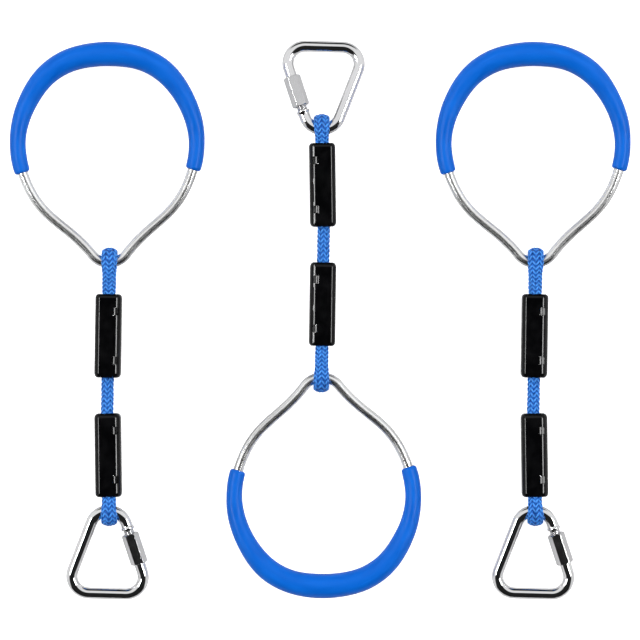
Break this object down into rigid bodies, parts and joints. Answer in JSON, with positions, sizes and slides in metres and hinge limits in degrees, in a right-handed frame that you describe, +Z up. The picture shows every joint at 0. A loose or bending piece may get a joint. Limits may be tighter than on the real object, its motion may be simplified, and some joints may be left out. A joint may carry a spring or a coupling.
{
  "type": "gymnastics rings",
  "caption": "Gymnastics rings: steel rings with thick moulded hand grips, each hung from a short braided rope with clamp covers and a delta quick link.",
  "frame": {"origin": "centre of the set's bounding box, on the surface it lies on", "axes": "+X across the three rings, +Y along the ropes towards the left and right rings, +Z up from the surface"},
  "size_m": [0.4851, 0.4382, 0.0246],
  "materials": {
    "ring_steel": "polished",
    "grip_rubber": "satin moulded",
    "rope": "braided polyester",
    "cover_plastic": "gloss black",
    "crimp_aluminium": "pressed",
    "link_steel": "polished",
    "nut_steel": "finely turned"
  },
  "bodies": {
    "middle_link": {"middle_link_bar": "link_steel"},
    "middle_nut": {"middle_link_nut": "nut_steel"},
    "middle_link_clamp": {"middle_link_eye": "rope", "middle_link_cover_body": "cover_plastic", "middle_link_cover_lid": "cover_plastic", "middle_link_crimp_1": "crimp_aluminium", "middle_link_crimp_2": "crimp_aluminium"},
    "middle_rope": {"middle_rope_span": "rope"},
    "middle_ring_clamp": {"middle_ring_eye": "rope", "middle_ring_cover_body": "cover_plastic", "middle_ring_cover_lid": "cover_plastic", "middle_ring_crimp_1": "crimp_aluminium", "middle_ring_crimp_2": "crimp_aluminium"},
    "middle_ring": {"middle_ring_bar": "ring_steel", "middle_hand_grip": "grip_rubber"},
    "left_link": {"left_link_bar": "link_steel"},
    "left_nut": {"left_link_nut": "nut_steel"},
    "left_link_clamp": {"left_link_eye": "rope", "left_link_cover_body": "cover_plastic", "left_link_cover_lid": "cover_plastic", "left_link_crimp_1": "crimp_aluminium", "left_link_crimp_2": "crimp_aluminium"},
    "left_rope": {"left_rope_span": "rope"},
    "left_ring_clamp": {"left_ring_eye": "rope", "left_ring_cover_body": "cover_plastic", "left_ring_cover_lid": "cover_plastic", "left_ring_crimp_1": "crimp_aluminium", "left_ring_crimp_2": "crimp_aluminium"},
    "left_ring": {"left_ring_bar": "ring_steel", "left_hand_grip": "grip_rubber"},
    "right_link": {"right_link_bar": "link_steel"},
    "right_nut": {"right_link_nut": "nut_steel"},
    "right_link_clamp": {"right_link_eye": "rope", "right_link_cover_body": "cover_plastic", "right_link_cover_lid": "cover_plastic", "right_link_crimp_1": "crimp_aluminium", "right_link_crimp_2": "crimp_aluminium"},
    "right_rope": {"right_rope_span": "rope"},
    "right_ring_clamp": {"right_ring_eye": "rope", "right_ring_cover_body": "cover_plastic", "right_ring_cover_lid": "cover_plastic", "right_ring_crimp_1": "crimp_aluminium", "right_ring_crimp_2": "crimp_aluminium"},
    "right_ring": {"right_ring_bar": "ring_steel", "right_hand_grip": "grip_rubber"}
  },
  "joints": [
    {"name": "middle_nut_travel", "type": "slide", "parent": "middle_link", "child": "middle_nut", "axis": [-0.3092, 0.9444, -0.1122], "range_m": [-0.0026, 0.0105]},
    {"name": "middle_link_swing", "type": "hinge", "parent": "middle_link", "child": "middle_link_clamp", "pos_m": [0.00143, 0.14919, 0.0123], "axis": [-0.9996, 0.027, 0], "range_deg": [-110, 110]},
    {"name": "middle_rope_bend", "type": "hinge", "parent": "middle_link_clamp", "child": "middle_rope", "pos_m": [0.0027, 0.0583, 0.0123], "axis": [1, 0, 0], "range_deg": [-50, 50]},
    {"name": "middle_rope_twist", "type": "hinge", "parent": "middle_rope", "child": "middle_ring_clamp", "pos_m": [0.0027, 0.0583, 0.0123], "axis": [-0.0152, -0.9999, 0], "range_deg": [-45, 45]},
    {"name": "middle_ring_swing", "type": "hinge", "parent": "middle_ring_clamp", "child": "middle_ring", "pos_m": [0.00113, -0.04479, 0.0123], "axis": [-0.9998, -0.0192, 0], "range_deg": [-160, 160]},
    {"name": "left_set_lift", "type": "slide", "parent": "middle_link", "child": "left_link", "axis": [0, 0, 1], "range_m": [0, 0.15]},
    {"name": "left_nut_travel", "type": "slide", "parent": "left_link", "child": "left_nut", "axis": [0.3092, -0.9444, -0.1122], "range_m": [-0.0026, 0.0105]},
    {"name": "left_link_swing", "type": "hinge", "parent": "left_link", "child": "left_link_clamp", "pos_m": [-0.16493, -0.14919, 0.0123], "axis": [0.9996, -0.027, 0], "range_deg": [-110, 110]},
    {"name": "left_rope_bend", "type": "hinge", "parent": "left_link_clamp", "child": "left_rope", "pos_m": [-0.1662, -0.0583, 0.0123], "axis": [-1, 0, 0], "range_deg": [-50, 50]},
    {"name": "left_rope_twist", "type": "hinge", "parent": "left_rope", "child": "left_ring_clamp", "pos_m": [-0.1662, -0.0583, 0.0123], "axis": [0.0152, 0.9999, 0], "range_deg": [-45, 45]},
    {"name": "left_ring_swing", "type": "hinge", "parent": "left_ring_clamp", "child": "left_ring", "pos_m": [-0.16464, 0.04479, 0.0123], "axis": [0.9998, 0.0192, 0], "range_deg": [-160, 160]},
    {"name": "right_set_lift", "type": "slide", "parent": "middle_link", "child": "right_link", "axis": [0, 0, 1], "range_m": [0, 0.15]},
    {"name": "right_nut_travel", "type": "slide", "parent": "right_link", "child": "right_nut", "axis": [0.3092, -0.9444, -0.1122], "range_m": [-0.0026, 0.0105]},
    {"name": "right_link_swing", "type": "hinge", "parent": "right_link", "child": "right_link_clamp", "pos_m": [0.16827, -0.14919, 0.0123], "axis": [0.9996, -0.027, 0], "range_deg": [-110, 110]},
    {"name": "right_rope_bend", "type": "hinge", "parent": "right_link_clamp", "child": "right_rope", "pos_m": [0.167, -0.0583, 0.0123], "axis": [-1, 0, 0], "range_deg": [-50, 50]},
    {"name": "right_rope_twist", "type": "hinge", "parent": "right_rope", "child": "right_ring_clamp", "pos_m": [0.167, -0.0583, 0.0123], "axis": [0.0152, 0.9999, 0], "range_deg": [-45, 45]},
    {"name": "right_ring_swing", "type": "hinge", "parent": "right_ring_clamp", "child": "right_ring", "pos_m": [0.16856, 0.04479, 0.0123], "axis": [0.9998, 0.0192, 0], "range_deg": [-160, 160]}
  ]
}
